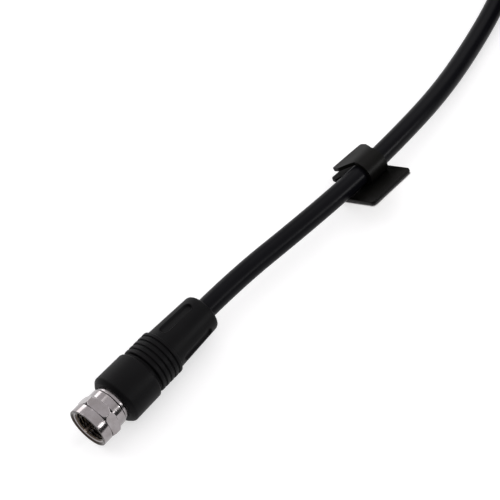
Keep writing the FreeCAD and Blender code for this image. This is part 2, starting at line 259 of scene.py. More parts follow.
@dataclass(frozen=True)
class Plating(Finish):
    """Bright plate on turned metal, with fine rings round the plug's axis and dull patches, and at a mouth
    painted shade in the bore and a painted dark reflection on the front rim.
    """

    colour: Colour = (0.315, 0.294, 0.3, 1.0)
    dull: Colour = (0.255, 0.234, 0.232, 1.0)
    # Painted shade: the next colour is the bore's dark brown, standing in for the little light inside the
    # bore, and the one after it is darker still, painted shade where the thread meets the chamfer and a
    # painted dark reflection on the mouth's front rim.
    inside: Colour = (0.065, 0.05, 0.036, 1.0)
    painted_dark: Colour = (0.03, 0.023, 0.017, 1.0)
    # Radii, in metres, where the bore's painted shade ends, where the plate's own colour begins, and where
    # the painted dark reflection on the front rim begins and ends.
    mouth: tuple[float, float, float, float] = (0.0, 0.0, 1.0, 2.0)
    # Depth from the mouth's face of the painted dark reflection on the front rim.
    painted_rim_depth: float = 0.00046
    roughness: float = 0.16
    centre: Place = (0.0, 0.0, 0.0)

    def dress(self, bench: Bench) -> None:
        """Rings are noise on (along, radius) and patches are slow noise.

        By radius, mouth gives where the bore's painted shade ends, where the plate's own colour begins
        after a darker band of painted shade, and where the painted dark reflection on the front rim
        begins and ends.

        Args:
            bench: where the nodes go.
        """
        place = bench.place(self.centre)
        along, side, height = bench.split(place)
        radius = (side * side + height * height) ** 0.5
        turned = bench.node("ShaderNodeCombineXYZ", None, {"X": along, "Y": radius})
        rings = bench.noise(turned, 6500.0, 2.0)
        patches = bench.spread(bench.noise(place, 420.0, 3.0), 0.35, 0.7)
        roughness = rings * 0.12 + patches * 0.08 + (self.roughness - 0.1)
        outside = bench.mix(patches, self.colour, self.dull)
        bore, line, rim, edge = self.mouth
        # Painted dark reflection: near the mouth's face, between the rim's and the edge's radii, the plate
        # is painted the darkest colour.
        front = bench.spread(along, -self.painted_rim_depth, 0.0001 - self.painted_rim_depth)
        front = front * bench.spread(radius, rim - 0.00005, rim) * bench.spread(radius, edge, edge - 0.00008)
        # Painted shade in the bore: dark brown, and darker still towards the thread's roots and out to where
        # the plate's own colour begins.
        painted_dark = bench.mix(bench.spread(radius, bore - 0.0002, bore), self.inside, self.painted_dark)
        metal = bench.mix(front, outside, self.painted_dark)
        bench.principled({
            # Outside the bright line's inner radius the plate keeps its own colour; inside it, the painted
            # shade.
            "Base Color": bench.mix(bench.spread(radius, line - 0.0001, line), painted_dark, metal),
            "Metallic": 1.0,
            "Roughness": roughness,
            "Normal": bench.bump(rings, 0.25, 0.000002),
        })


@dataclass(frozen=True)
class Moulding(Finish):
    """Moulded black plastic with a fine eroded grain and slow clouds of dust."""

    colour: Colour = (0.0022, 0.0022, 0.0026, 1.0)
    bloom: Colour = (0.0038, 0.0036, 0.004, 1.0)
    roughness: float = 0.5
    specular: float = 0.07
    grain_scale: float = 5200.0
    grain_depth: float = 0.000012

    def dress(self, bench: Bench) -> None:
        """Grain is fine noise as relief; clouds shift colour and roughness.

        Args:
            bench: where the nodes go.
        """
        place = bench.place()
        grain = bench.noise(place, self.grain_scale, 3.0, 0.6)
        clouds = bench.spread(bench.noise(place, 160.0, 3.0), 0.3, 0.75)
        bench.principled({
            "Base Color": bench.mix(clouds, self.colour, self.bloom),
            "Specular IOR Level": self.specular,
            "Roughness": clouds * 0.1 + grain * 0.08 + (self.roughness - 0.09),
            "Normal": bench.bump(grain, 0.5, self.grain_depth),
        })


@dataclass(frozen=True)
class Jacket(Finish):
    """Extruded cable jacket: near black, drawn lengthwise streaks and a faint orange-peel skin."""

    colour: Colour = (0.002, 0.002, 0.003, 1.0)
    bloom: Colour = (0.003, 0.003, 0.0042, 1.0)
    roughness: float = 0.32
    specular: float = 0.06

    def dress(self, bench: Bench) -> None:
        """Streaks are noise stretched along the lead; the skin is fine noise as relief.

        Args:
            bench: where the nodes go.
        """
        streaks = bench.noise(bench.place(scale=(0.06, 1.0, 1.0)), 1500.0, 2.0)
        skin = bench.noise(bench.place(), 2400.0, 2.0)
        clouds = bench.spread(bench.noise(bench.place(), 70.0, 2.0), 0.3, 0.7)
        relief = bench.bump(streaks, 0.3, 0.000008)
        bench.principled({
            "Base Color": bench.mix(clouds, self.colour, self.bloom),
            "Specular IOR Level": self.specular,
            "Roughness": streaks * 0.1 + clouds * 0.06 + (self.roughness - 0.08),
            "Normal": bench.bump(skin, 0.3, 0.00001, relief),
        })


@dataclass(frozen=True)
class Foam(Finish):
    """Closed-cell foam, with round cells as relief and in its colour."""

    colour: Colour = (0.05, 0.05, 0.05, 1.0)
    cell: Colour = (0.02, 0.02, 0.02, 1.0)
    roughness: float = 0.8
    cell_scale: float = 5000.0

    def dress(self, bench: Bench) -> None:
        """Cells are distances to scattered points.

        Args:
            bench: where the nodes go.
        """
        sockets = {"Vector": bench.place(), "Scale": self.cell_scale}
        cells = bench.node("ShaderNodeTexVoronoi", None, sockets, "Distance")
        walls = bench.spread(cells, 0.15, 0.6)
        bench.principled({
            "Base Color": bench.mix(walls, self.cell, self.colour),
            "Roughness": self.roughness,
            "Normal": bench.bump(walls, 0.5, 0.00004),
        })


@dataclass(frozen=True)
class Paper(Finish):
    """Coated liner paper with faint fibres."""

    colour: Colour = (0.78, 0.77, 0.75, 1.0)
    fibre: Colour = (0.66, 0.65, 0.62, 1.0)

    def dress(self, bench: Bench) -> None:
        """Fibres are noise drawn out along the lead.

        Args:
            bench: where the nodes go.
        """
        fibres = bench.noise(bench.place(scale=(0.2, 1.0, 1.0)), 4000.0, 3.0)
        bench.principled({
            "Base Color": bench.mix(bench.spread(fibres, 0.4, 0.75), self.colour, self.fibre),
            "Roughness": fibres * 0.2 + 0.4,
            "Normal": bench.bump(fibres, 0.2, 0.00001),
        })


@dataclass(frozen=True)
class LoopBand(Finish):
    """Soft black band of short loops, woven in rows along its length."""

    colour: Colour = (0.012, 0.012, 0.013, 1.0)
    nap: Colour = (0.045, 0.045, 0.048, 1.0)

    def dress(self, bench: Bench) -> None:
        """Loops are cells on the band's own lengths, and rows are a wave along it.

        Args:
            bench: where the nodes go.
        """
        lengths = bench.node("ShaderNodeUVMap", {"uv_map": "lengths"})
        loops = bench.node("ShaderNodeTexVoronoi", None, {"Vector": lengths, "Scale": 2600.0}, "Distance")
        rows = bench.node(
            "ShaderNodeTexWave",
            {"bands_direction": "X"},
            {"Vector": lengths, "Scale": 180.0, "Distortion": 1.5, "Detail": 1.0, "Detail Scale": 6.0},
            "Fac",
        )
        nap = bench.spread(loops, 0.1, 0.7)
        relief = bench.bump(rows, 0.3, 0.00008)
        bench.principled({
            "Base Color": bench.mix(nap, self.nap, self.colour),
            "Roughness": 0.85,
            "Normal": bench.bump(nap, 0.6, 0.00006, relief),
        })


@dataclass(frozen=True)
class Copper(Finish):
    """Drawn, tinned copper wire with patches of tarnish."""

    colour: Colour = (0.36, 0.3, 0.26, 1.0)
    tarnish: Colour = (0.22, 0.17, 0.13, 1.0)

    def dress(self, bench: Bench) -> None:
        """Tarnish is slow noise, and drawing lines are noise stretched along the wire.

        Args:
            bench: where the nodes go.
        """
        patches = bench.spread(bench.noise(bench.place(), 900.0, 3.0), 0.4, 0.75)
        lines = bench.noise(bench.place(scale=(0.05, 1.0, 1.0)), 9000.0, 1.0)
        bench.principled({
            "Base Color": bench.mix(patches, self.colour, self.tarnish),
            "Metallic": 1.0,
            "Roughness": patches * 0.2 + lines * 0.1 + 0.2,
            "Normal": bench.bump(lines, 0.2, 0.000003),
        })


@dataclass(frozen=True)
class Floor(Finish):
    """White ground that stays white behind the object and keeps its shadow."""

    colour: Colour = (0.62, 0.62, 0.62, 1.0)
    glow: float = 0.5

    def dress(self, bench: Bench) -> None:
        """A matt surface, with a white glow for rays from the camera and from gloss and glass.

        Args:
            bench: where the nodes go.
        """
        rays = [
            bench.node("ShaderNodeLightPath", output=name)
            for name in ("Is Camera Ray", "Is Glossy Ray", "Is Transmission Ray")
        ]
        seen = bench.maths("MAXIMUM", bench.maths("MAXIMUM", rays[0], rays[1]), rays[2])
        matt = bench.node("ShaderNodeBsdfDiffuse", None, {"Color": self.colour})
        white = (1.0, 1.0, 1.0, 1.0)
        glow = bench.node("ShaderNodeEmission", None, {"Color": white, "Strength": seen * self.glow})
        bench.close(bench.node("ShaderNodeAddShader", None, {0: matt, 1: glow}))


BOOT_BLACK = Moulding("boot_satin_black")
CLIP_BLACK = Moulding(
    "clip_matt_black", (0.0022, 0.0022, 0.0018, 1.0), (0.0038, 0.0034, 0.003, 1.0), 0.42, grain_scale=4200.0
)
JACKET_BLACK = Jacket("jacket_drawn_black")
CORE_WHITE = Foam("core_white", (0.8, 0.79, 0.76, 1.0), (0.7, 0.69, 0.66, 1.0), 0.5, 7000.0)
TAPE_BLACK = Foam("tape_black_foam")
LINER_WHITE = Paper("liner_white")
TIE_BLACK = LoopBand("tie_black_loop")
PIN_COPPER = Copper("pin_copper")


def smooth(share: Array) -> Array:
    """Step from 0 to 1 with level ends: 3t^2 - 2t^3, with t held between 0 and 1."""
    t = np.clip(share, 0.0, 1.0)
    return t * t * (3.0 - 2.0 * t)


def unit(degrees: float | Sequence[float] | Array) -> Array:
    """Directions at angles: cosine and sine, on a last axis of two."""
    angle = np.radians(degrees)
    return np.stack([np.cos(angle), np.sin(angle)], axis=-1)


def gone(path: Array) -> Array:
    """Length gone at each point of a path: the running sum of the distances between its points."""
    return np.concatenate([[0.0], np.cumsum(np.linalg.norm(np.diff(path, axis=0), axis=1))])


def metres(lengths: Sequence[float]) -> tuple[float, ...]:
    """Lengths in metres, from millimetres."""
    return tuple(length * MM for length in lengths)


def parabola(enter: Array, corner: Array, leave: Array, t: Array) -> Array:
    """Curve from one point to another, along the sides of a corner at its ends, for t from 0 to 1."""
    return (1 - t) ** 2 * enter + 2 * t * (1 - t) * corner + t**2 * leave


def soften(corners: Sequence[Corner], steps: int = 5) -> Array:
    """Closed profile with rounded corners.

    Each corner becomes a parabola from a point on the side before it to one on the side after it,
    both a setback from the corner, and the setback is at most 0.45 of the shorter side.

    Args:
        corners: (station, radius, setback) of each corner.
        steps: points on each parabola.

    Returns:
        The rounded profile's points.
    """
    corner, rounds = np.split(np.asarray(corners, float), [2], axis=1)
    back = np.roll(corner, 1, axis=0) - corner
    ahead = np.roll(corner, -1, axis=0) - corner
    back_length = np.linalg.norm(back, axis=1)
    ahead_length = np.linalg.norm(ahead, axis=1)
    setback = np.minimum(rounds[:, 0], 0.45 * np.minimum(back_length, ahead_length))
    enter = (corner + back * (setback / back_length)[:, None])[:, None]
    leave = (corner + ahead * (setback / ahead_length)[:, None])[:, None]
    t = np.linspace(0.0, 1.0, steps)[None, :, None]
    return parabola(enter, corner[:, None], leave, t).reshape(-1, 2)


def densify(profile: Array, spacing: float, stations: Span, radii: Span) -> Array:
    """Closed profile with more points on one stretch.

    Args:
        profile: (station, radius) points.
        spacing: the distance between the added points.
        stations: the stretch's first and last station.
        radii: its least and greatest radius.

    Returns:
        The profile with points added by linear interpolation on its length.
    """
    ring = np.vstack([profile, profile[:1]])
    length = gone(ring)
    extra = np.arange(0.0, length[-1], spacing)
    station, radius = (np.interp(extra, length, ring[:, axis]) for axis in (0, 1))
    in_radii = (radius > radii[0]) & (radius < radii[1])
    kept = extra[(station > stations[0]) & (station < stations[1]) & in_radii]
    every = np.unique(np.round(np.concatenate([length[:-1], kept]), 6))
    return np.column_stack([np.interp(every, length, ring[:, axis]) for axis in (0, 1)])


def revolve(profile: Array, angles: Array, bend: Bend | None = None) -> Array:
    """Turned surface: (station s, radius r) at angle a becomes (-s, r sin a, r cos a).

    Args:
        profile: (station, radius) points.
        angles: angles from +Z towards +Y.
        bend: changes the radius by station and angle.

    Returns:
        Points of the grid, profile by angle.
    """
    station, radius, angle = np.broadcast_arrays(profile[:, :1], profile[:, 1:], angles)
    if bend is not None:
        radius = bend(station, radius, angle)
    return np.stack([-station, radius * np.sin(angle), radius * np.cos(angle)], axis=-1)


def quads(rows: int, columns: int, wrap_rows: bool, wrap_columns: bool) -> Array:
    """Faces of a grid: each joins two neighbours in one row to the two in the next.

    Args:
        rows: how many rows the grid has.
        columns: how many columns.
        wrap_rows: whether its last row joins its first.
        wrap_columns: whether its last column joins its first.

    Returns:
        Four vertex numbers for each face.
    """
    index = np.arange(rows * columns).reshape(rows, columns)
    if wrap_rows:
        index = np.vstack([index, index[:1]])
    if wrap_columns:
        index = np.hstack([index, index[:, :1]])
    corners = [index[:-1, :-1], index[1:, :-1], index[1:, 1:], index[:-1, 1:]]
    return np.stack(corners, axis=-1).reshape(-1, 4)


def make_mesh(
    name: str, points: Array, faces: Sequence[Sequence[int]], crease: float | None = None
) -> bpy.types.Mesh:
    """Smooth mesh in metres, with doubles merged and faces turned outwards.

    Args:
        name: the mesh's name.
        points: vertices in millimetres.
        faces: lists of vertex numbers.
        crease: the angle in degrees past which an edge stays sharp, or none.

    Returns:
        The mesh.
    """
    mesh = bpy.data.meshes.new(name)
    mesh.from_pydata((points.reshape(-1, 3) * MM).tolist(), [], faces)
    work = bmesh.new()
    work.from_mesh(mesh)
    bmesh.ops.remove_doubles(work, verts=work.verts, dist=0.000001)
    bmesh.ops.dissolve_degenerate(work, edges=work.edges, dist=0.0000005)
    bmesh.ops.recalc_face_normals(work, faces=work.faces)
    work.to_mesh(mesh)
    work.free()
    mesh.polygons.foreach_set("use_smooth", np.ones(len(mesh.polygons), bool))
    if crease is not None:
        mesh.set_sharp_from_angle(angle=math.radians(crease))
    return mesh


def add(name: str, data: bpy.types.ID) -> bpy.types.Object:
    """Puts a new object in the scene.

    Args:
        name: the object's name.
        data: its mesh, curve, light or camera.

    Returns:
        The object.
    """
    made = bpy.data.objects.new(name, data)
    bpy.context.scene.collection.objects.link(made)
    return made


def add_facing(name: str, data: bpy.types.ID, place: Place, direction: Vector) -> bpy.types.Object:
    """Puts a lamp or a camera in the scene.

    Args:
        name: the object's name.
        data: its light or camera.
        place: where it is, in metres.
        direction: where it looks.

    Returns:
        The object.
    """
    made = add(name, data)
    made.location = place
    made.rotation_mode = "QUATERNION"
    made.rotation_quaternion = direction.to_track_quat("-Z", "Y")
    return made


@dataclass
class Piece:
    """One finished object of the lead."""

    name: str
    finish: Finish
    slot: str
    stands_for: tuple[str, ...] = ()
    body: Body = Body.LEAD

    def show(self, data: bpy.types.Mesh | bpy.types.Curve) -> bpy.types.Object:
        """Links the piece's data to the scene, gives it its finish and lets it ride.

        Args:
            data: the piece's mesh or curve.

        Returns:
            The piece's object.
        """
        made = add(self.name, data)
        data.materials.append(self.finish.material())
        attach(made, self.body.value)
        if self.stands_for:
            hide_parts(*self.stands_for)
        return made

    def grid(self, points: Array, closed: bool, crease: float | None = None) -> bpy.types.Object:
        """Shows a grid of points.

        Args:
            points: rows by columns of points, in millimetres.
            closed: whether its last row joins its first, and its last column too.
            crease: the angle in degrees past which an edge stays sharp, or none.

        Returns:
            The piece's object.
        """
        faces = quads(points.shape[0], points.shape[1], closed, closed).tolist()
        return self.show(make_mesh(self.name, points, faces, crease))


@dataclass
class Plug:
    """A screw-on plug: nut, post, sleeve, core, contact pin and boot, all turned about one axis."""

    label: str
    prefix: str
    nut_body: Body
    mouth: Place = (0.0, 0.0, 0.0)
    ring_radius: float = 5.875
    ring_length: float = 2.9
    hex_flat: float = 5.55
    hex_corner: float = 6.375
    hex_length: float = 3.0
    hex_roll: float = 4.0
    hex_chamfer: float = 0.5
    hex_chamfer_length: float = 0.7
    hex_step: float = 0.07
    nut_groove_half: float = 0.05
    nut_groove_depth: float = 0.12
    nut_groove_rise: float = 0.07
    rear_radius: float = 5.5
    rear_length: float = 2.5
    mouth_radius: float = 5.5
    mouth_depth: float = 0.8
    thread_radius: float = 4.335
    thread_depth: float = 0.42
    thread_pitch: float = 0.794
    thread_flat: float = 0.12
    thread_points: int = 12
    thread_runout: float = 0.6
    runout_share: float = 1.0 / 3.0
    bright_line: Span = (4.78, 5.02)
    lip_thickness: float = 1.5
    lip_radius: float = 3.38
    flange_front: float = 5.9
    flange_rear: float = 6.8
    flange_radius: float = 4.195
    neck_radius: float = 3.3
    core_radius: float = 1.7
    wire_radius: float = 0.24
    pin_radius: float = 0.4
    pin_reach: float = 0.9
    pin_bevel: float = 0.15
    shank_radius: float = 2.2
    braid_radius: float = 2.9
    sleeve_front: float = 8.55
    sleeve_radius: float = 3.9
    sleeve_ring: float = 5.1
    sleeve_ring_end: float = 10.65
    neck_end: float = 9.6
    core_end: float = 19.65
    boot_front: float = 9.55
    boot_bevel: float = 1.0
    collar_end: float = 19.9
    collar_front_radius: float = 7.3
    collar_rear_radius: float = 7.175
    neck_width: float = 1.2
    neck_groove_radius: float = 5.9
    rib_count: int = 5
    rib_width: float = 1.0
    groove_width: float = 0.6
    groove_radius: float = 6.35
    rib_radius: float = 6.8
    grip_front: float = 28.5
    grip_end: float = 44.3
    grip_front_radius: float = 6.175
    grip_rear_radius: float = 5.45
    grip_least: float = 4.5
    grip_tail: float = 1.5
    grip_step: float = 0.2
    cable_radius: float = 2.9
    flute_width: float = 2.6
    flute_depth: float = 0.7
    flute_wall: float = 0.3
    flute_cover: float = 0.5
    flute_facing: float = 0.2
    flute_arc: float = 0.4
    flute_front_margin: float = 1.9
    flute_rear_margin: float = 3.0
    flute_angles: tuple[float, ...] = (-18.5, 84.5, 161.5, 264.5)
    fine_round: float = 0.05
    segments: int = 96
    crease: float = 32.0
    pieces: list[bpy.types.Object] = field(default_factory=list)

    def plate(self, kind: str, **tones: Any) -> Plating:
        """Plating with its rings centred on this plug's axis."""
        return Plating(f"{self.label}_{kind}", centre=metres(self.mouth), **tones)

    def piece(self, part: str, finish: Finish, slot: str, node: str, body: Body = Body.LEAD) -> Piece:
        """A piece of this plug that stands for one of its nodes."""
        return Piece(f"{self.label}_{part}", finish, slot, (self.prefix + node,), body)

    def even(self) -> Array:
        """Angles evenly round the axis."""
        return np.linspace(0.0, TURN, self.segments, endpoint=False)

    def turn(
        self, piece: Piece, profile: Array, angles: Array | None = None, bend: Bend | None = None
    ) -> None:
        """Revolves a closed profile about the plug's axis and keeps the piece.

        Args:
            piece: what the surface becomes.
            profile: (station, radius) points.
            angles: where the profile is placed, evenly if none are given.
            bend: changes the radius by station and angle.
        """
        points = revolve(profile, self.even() if angles is None else angles, bend)
        self.pieces.append(piece.grid(points + np.asarray(self.mouth), True, self.crease))

    def hexagon(self, angle: Array) -> Array:
        """Radius of the hexagon at an angle: the flat's distance over the cosine from its middle."""
        off = (angle - math.radians(self.hex_roll) + math.pi / 6) % (math.pi / 3) - math.pi / 6
        return np.minimum(self.hex_flat / np.cos(off), self.hex_corner)

    def nut_bend(self, station: Array, radius: Array, angle: Array) -> Array:
        """Cuts the hexagon's flats and the thread into the turned nut.

        The thread is a V wave of station over pitch less the turn, so its ridge climbs one pitch
        for each right-hand turn.

        Args:
            station: stations of the grid.
            radius: radii of the turned nut.
            angle: angles of the grid.

        Returns:
            The nut's radii.
        """
        front, rear = self.ring_length + self.nut_groove_half, self.ring_length + self.hex_length
        on_hex = (station > front + CLOSE / 2) & (station < rear + TINY)
        flats = on_hex & (radius > self.rear_radius + CLOSE)
        made = np.where(flats, np.minimum(radius, self.hexagon(angle)), radius)
        phase = station / self.thread_pitch - angle / TURN
        wave = np.abs(2.0 * (phase % 1.0) - 1.0)
        flat = self.thread_flat
        depth = self.thread_depth * np.clip((wave - flat) / (1.0 - 2.0 * flat), 0.0, 1.0)
        past = (station - self.flange_front) / self.thread_runout
        in_bore = (radius < self.mouth_radius - CLOSE) & (radius > self.thread_radius - CLOSE) & (past < 1.0)
        cut = self.thread_radius + depth * smooth(self.runout_share - past)
        return np.where(in_bore, np.maximum(made, cut), made)

    def build_nut(self) -> None:
        """Ring, hexagon and rear collar round a threaded bore, with a fine groove behind the ring."""
        front = self.ring_length
        rear = front + self.hex_length
        end = rear + self.rear_length
        lip = end - self.lip_thickness
        corner, chamfer, drop = self.hex_corner, self.hex_chamfer_length, self.hex_chamfer
        groove, half = self.hex_flat - self.nut_groove_depth, self.nut_groove_half
        profile = soften([
            (0.0, self.mouth_radius, 0.08),
            (0.0, self.ring_radius, 0.2),
            (front - 2 * half, self.ring_radius, 0.03),
            (front - half, groove, 0.01),
            (front + half, groove, 0.01),
            (front + 2 * half, corner - drop + self.nut_groove_rise, 0.02),
            (front + chamfer, corner, 0.08),
            (rear - chamfer, corner, 0.08),
            (rear, corner - drop, 0.02),
            (rear, self.rear_radius, 0.15),
            (end, self.rear_radius, 0.3),
            (end, self.lip_radius, 0.15),
            (lip, self.lip_radius, 0.1),
            (lip, self.thread_radius, 0.1),
            (self.mouth_depth, self.thread_radius, 0.05),
        ])
        fine = self.fine_round
        bore = (self.thread_radius - fine, self.mouth_radius - fine)
        profile = densify(profile, self.thread_pitch / self.thread_points, (0.0, lip - fine), bore)
        flats = (self.ring_radius + CLOSE, 2 * corner)
        profile = densify(profile, self.hex_step, (front + 2 * half, rear), flats)
        cut = math.degrees(math.acos(self.hex_flat / corner))
        sector = np.radians(np.concatenate([np.linspace(-cut, cut, 25), [30.0]]) + self.hex_roll)
        angles = (np.arange(6)[:, None] * math.pi / 3 + sector[None, :]).ravel()
        # Painted marks at the mouth, by radius: the bore's painted shade ends at the thread's roots, the
        # plate's own colour shows from the bright line's start, and the painted dark reflection covers the
        # front rim out to the ring.
        mouth = (self.thread_radius + self.thread_depth, *self.bright_line, self.ring_radius)
        plate = self.plate("nut_plate_painted_shade", mouth=metres(mouth))
        piece = self.piece("nut", plate, "nickel", "coupling_nut", self.nut_body)
        self.turn(piece, profile, angles, self.nut_bend)

    def build_inside(self) -> None:
        """Post, white core and contact pin, seen through the mouth, and the sleeve behind the nut."""
        front, end, fine = self.flange_front, self.core_end, self.fine_round
        core, wire, neck = self.core_radius, self.wire_radius, self.neck_radius
        # Brass tone, much darkened as painted shade for the post's place deep inside the bore.
        brass = self.plate(
            "post_plate_painted_shade", colour=(0.16, 0.12, 0.09, 1.0), dull=(0.1, 0.075, 0.05, 1.0), roughness=0.3
        )
        self.turn(self.piece("post", brass, "nickel", "post"), soften([
            (front, core, 0.15),
            (front, self.flange_radius, 0.12),
            (self.flange_rear, self.flange_radius, fine),
            (self.flange_rear, neck, fine),
            (self.neck_end, neck, fine),
            (self.neck_end, self.shank_radius, fine),
            (end, self.shank_radius, fine),
            (end, core, fine),
        ]))
        self.turn(self.piece("core", CORE_WHITE, "foam_core", "dielectric_core"), soften([
            (front, wire, fine), (front, core, fine), (end, core, fine), (end, wire, fine),
        ]))
        tip, bevel, pin = -self.pin_reach, self.pin_bevel, self.pin_radius
        self.turn(self.piece("pin", PIN_COPPER, "conductor", "centre_conductor"), soften([
            (tip, 0.0, 0.0),
            (tip, pin - bevel, 0.06),
            (tip + bevel, pin, 0.06),
            (front, pin, 0.02),
            (front, wire, 0.02),
            (end, wire, 0.02),
            (end, 0.0, 0.0),
        ]))
        plate = self.plate("sleeve_plate", roughness=0.24)
        self.turn(self.piece("sleeve", plate, "nickel_sleeve", "crimp_sleeve"), soften([
            (self.sleeve_front, neck, 0.1),
            (self.sleeve_front, self.sleeve_ring, 0.25),
            (self.sleeve_ring_end, self.sleeve_ring, fine),
            (self.sleeve_ring_end, self.sleeve_radius, fine),
            (end, self.sleeve_radius, fine),
            (end, self.braid_radius, fine),
            (self.neck_end, self.braid_radius, fine),
            (self.neck_end, neck, fine),
        ]))

    def flute_bend(self, station: Array, radius: Array, angle: Array) -> Array:
        """Cuts the long recesses into the grip.

        Inside a stadium drawn on the surface, the radius drops to a flat floor, and the wall is a
        short smooth step. Only what faces the flute and lies well outside the cable is cut.

        Args:
            station: stations of the grid.
            radius: radii of the turned boot.
            angle: angles of the grid.

        Returns:
            The boot's radii.
        """
        front = self.grip_front + self.flute_front_margin
        rear = self.grip_end - self.flute_rear_margin
        half = self.flute_width / 2
        middle = (front + rear) / 2
        reach = (rear - front) / 2 - half
        slope = (self.grip_front_radius - self.grip_rear_radius) / (self.grip_end - self.grip_front)
        surface = self.grip_front_radius - slope * (station - self.grip_front)
        outer = radius > self.cable_radius + self.flute_cover
        made = radius
        for degrees in self.flute_angles:
            off = (angle - math.radians(degrees) + math.pi) % TURN - math.pi
            along = np.maximum(np.abs(station - middle) - reach, 0.0)
            inside = half - np.hypot(along, surface * np.sin(off))
            floor = (surface - self.flute_depth) / np.maximum(np.cos(off), self.flute_facing)
            share = smooth(inside / self.flute_wall + 0.5) * (np.cos(off) > self.flute_facing)
            made = made - share * np.maximum(made - floor, 0.0) * outer
        return made

    def build_boot(self) -> None:
        """Tapered collar, ribs and fluted grip, moulded round the sleeve and the cable.

        The grid is finer along the grip and across each flute.
        """
        bevel, collar, fine = self.boot_bevel, self.collar_front_radius, self.fine_round
        corners = [
            (self.boot_front, self.sleeve_ring, 0.1),
            (self.boot_front, collar - bevel, 0.3),
            (self.boot_front + bevel, collar, 0.35),
            (self.collar_end, self.collar_rear_radius, 0.6),
        ]
        station, floor, rib = self.collar_end, self.neck_groove_radius, self.rib_radius
        start = self.collar_end + self.neck_width
        for _ in range(self.rib_count):
            stop = start + self.rib_width
            corners += [(station, floor, 0.2), (start, floor, 0.2), (start, rib, 0.3), (stop, rib, 0.3)]
            station, floor, start = stop, self.groove_radius, stop + self.groove_width
        corners += [
            (self.grip_front, self.grip_front_radius, 0.2),
            (self.grip_end, self.grip_rear_radius, 1.9),
            (self.grip_end, self.cable_radius, 0.25),
            (self.core_end, self.cable_radius, fine),
            (self.core_end, self.sleeve_radius, fine),
            (self.sleeve_ring_end, self.sleeve_radius, fine),
            (self.sleeve_ring_end, self.sleeve_ring, fine),
        ]
        grip = (self.grip_front, self.grip_end - self.grip_tail)
        profile = densify(soften(corners, 6), self.grip_step, grip, (self.grip_least, collar))
        arc = np.linspace(-self.flute_arc, self.flute_arc, 33)
        near_flutes = np.radians(self.flute_angles)[:, None] + arc
        angles = np.unique(np.round(np.concatenate([self.even(), near_flutes.ravel() % TURN]), 4))
        self.turn(self.piece("boot", BOOT_BLACK, "boot_black", "boot"), profile, angles, self.flute_bend)

    def build(self) -> list[bpy.types.Object]:
        """Builds every piece of the plug.

        Returns:
            The pieces' objects.
        """
        self.build_nut()
        self.build_inside()
        self.build_boot()
        return self.pieces


